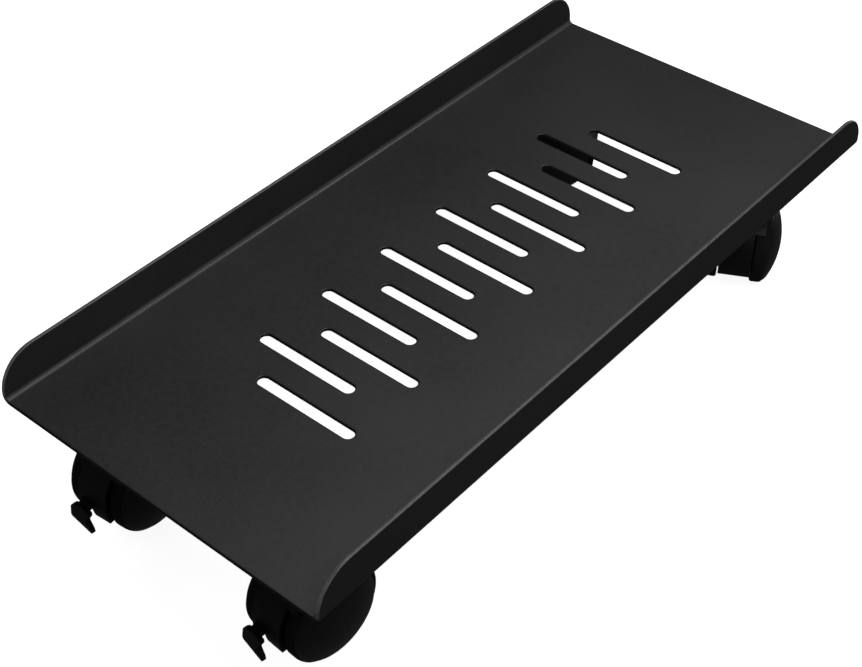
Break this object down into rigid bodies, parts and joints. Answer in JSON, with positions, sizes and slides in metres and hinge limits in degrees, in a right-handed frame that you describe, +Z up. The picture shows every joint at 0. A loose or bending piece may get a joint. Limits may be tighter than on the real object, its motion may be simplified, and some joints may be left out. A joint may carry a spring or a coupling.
{
  "type": "cpu holder",
  "caption": "Wheeled floor holder for a computer tower: a folded sheet-steel tray with slots and upturned long sides on swivel casters with brake levers at one end.",
  "frame": {"origin": "on the floor under the middle of the tray", "axes": "+X across the tray, towards the right flange seen from the braked end; +Y along the tray, away from the braked end; +Z up"},
  "size_m": [0.2, 0.436, 0.0962],
  "materials": {
    "tray_paint": "fine-textured satin black powder coat",
    "caster_plastic": "satin moulded black nylon",
    "tread": "matte soft tread",
    "zinc_steel": "zinc plated",
    "bright_steel": "bright drawn"
  },
  "bodies": {
    "root": {"tray": "tray_paint", "weld_nuts": "zinc_steel", "lock_washers": "zinc_steel", "front_left_stem": "zinc_steel", "front_right_stem": "zinc_steel", "rear_left_stem": "zinc_steel", "rear_right_stem": "zinc_steel"},
    "front_left_swivel": {"front_left_housing": "caster_plastic", "front_left_axle": "bright_steel", "front_left_retaining_ring": "bright_steel", "front_left_lever_pin": "bright_steel"},
    "front_left_left_wheel": {"front_left_left_wheel_core": "caster_plastic", "front_left_left_tread": "tread", "front_left_left_cover": "caster_plastic"},
    "front_left_right_wheel": {"front_left_right_wheel_core": "caster_plastic", "front_left_right_tread": "tread", "front_left_right_cover": "caster_plastic"},
    "front_left_brake": {"front_left_brake_lever": "caster_plastic"},
    "front_right_swivel": {"front_right_housing": "caster_plastic", "front_right_axle": "bright_steel", "front_right_retaining_ring": "bright_steel", "front_right_lever_pin": "bright_steel"},
    "front_right_left_wheel": {"front_right_left_wheel_core": "caster_plastic", "front_right_left_tread": "tread", "front_right_left_cover": "caster_plastic"},
    "front_right_right_wheel": {"front_right_right_wheel_core": "caster_plastic", "front_right_right_tread": "tread", "front_right_right_cover": "caster_plastic"},
    "front_right_brake": {"front_right_brake_lever": "caster_plastic"},
    "rear_left_swivel": {"rear_left_housing": "caster_plastic", "rear_left_axle": "bright_steel", "rear_left_retaining_ring": "bright_steel"},
    "rear_left_left_wheel": {"rear_left_left_wheel_core": "caster_plastic", "rear_left_left_tread": "tread", "rear_left_left_cover": "caster_plastic"},
    "rear_left_right_wheel": {"rear_left_right_wheel_core": "caster_plastic", "rear_left_right_tread": "tread", "rear_left_right_cover": "caster_plastic"},
    "rear_right_swivel": {"rear_right_housing": "caster_plastic", "rear_right_axle": "bright_steel", "rear_right_retaining_ring": "bright_steel"},
    "rear_right_left_wheel": {"rear_right_left_wheel_core": "caster_plastic", "rear_right_left_tread": "tread", "rear_right_left_cover": "caster_plastic"},
    "rear_right_right_wheel": {"rear_right_right_wheel_core": "caster_plastic", "rear_right_right_tread": "tread", "rear_right_right_cover": "caster_plastic"}
  },
  "joints": [
    {"name": "front_left_swivel", "type": "hinge", "parent": "root", "child": "front_left_swivel", "pos_m": [-0.06, -0.1718, 0.045], "axis": [0, 0, 1], "continuous": true},
    {"name": "front_left_left_wheel_spin", "type": "hinge", "parent": "front_left_swivel", "child": "front_left_left_wheel", "pos_m": [-0.0591, -0.18326, 0.025], "axis": [0.9969, 0.0785, 0], "continuous": true},
    {"name": "front_left_right_wheel_spin", "type": "hinge", "parent": "front_left_swivel", "child": "front_left_right_wheel", "pos_m": [-0.0591, -0.18326, 0.025], "axis": [0.9969, 0.0785, 0], "continuous": true},
    {"name": "front_left_brake", "type": "hinge", "parent": "front_left_swivel", "child": "front_left_brake", "pos_m": [-0.05778, -0.20001, 0.0235], "axis": [0.9969, 0.0785, 0], "range_deg": [0, 18]},
    {"name": "front_right_swivel", "type": "hinge", "parent": "root", "child": "front_right_swivel", "pos_m": [0.06, -0.1718, 0.045], "axis": [0, 0, 1], "continuous": true},
    {"name": "front_right_left_wheel_spin", "type": "hinge", "parent": "front_right_swivel", "child": "front_right_left_wheel", "pos_m": [0.0592, -0.18327, 0.025], "axis": [0.9976, -0.0698, 0], "continuous": true},
    {"name": "front_right_right_wheel_spin", "type": "hinge", "parent": "front_right_swivel", "child": "front_right_right_wheel", "pos_m": [0.0592, -0.18327, 0.025], "axis": [0.9976, -0.0698, 0], "continuous": true},
    {"name": "front_right_brake", "type": "hinge", "parent": "front_right_swivel", "child": "front_right_brake", "pos_m": [0.05803, -0.20003, 0.0235], "axis": [0.9976, -0.0698, 0], "range_deg": [0, 18]},
    {"name": "rear_left_swivel", "type": "hinge", "parent": "root", "child": "rear_left_swivel", "pos_m": [-0.06, 0.1718, 0.045], "axis": [0, 0, 1], "continuous": true},
    {"name": "rear_left_left_wheel_spin", "type": "hinge", "parent": "rear_left_swivel", "child": "rear_left_left_wheel", "pos_m": [-0.06996, 0.16605, 0.025], "axis": [0.5, -0.866, 0], "continuous": true},
    {"name": "rear_left_right_wheel_spin", "type": "hinge", "parent": "rear_left_swivel", "child": "rear_left_right_wheel", "pos_m": [-0.06996, 0.16605, 0.025], "axis": [0.5, -0.866, 0], "continuous": true},
    {"name": "rear_right_swivel", "type": "hinge", "parent": "root", "child": "rear_right_swivel", "pos_m": [0.06, 0.1718, 0.045], "axis": [0, 0, 1], "continuous": true},
    {"name": "rear_right_left_wheel_spin", "type": "hinge", "parent": "rear_right_swivel", "child": "rear_right_left_wheel", "pos_m": [0.0654, 0.16165, 0.025], "axis": [0.8829, 0.4695, 0], "continuous": true},
    {"name": "rear_right_right_wheel_spin", "type": "hinge", "parent": "rear_right_swivel", "child": "rear_right_right_wheel", "pos_m": [0.0654, 0.16165, 0.025], "axis": [0.8829, 0.4695, 0], "continuous": true}
  ]
}
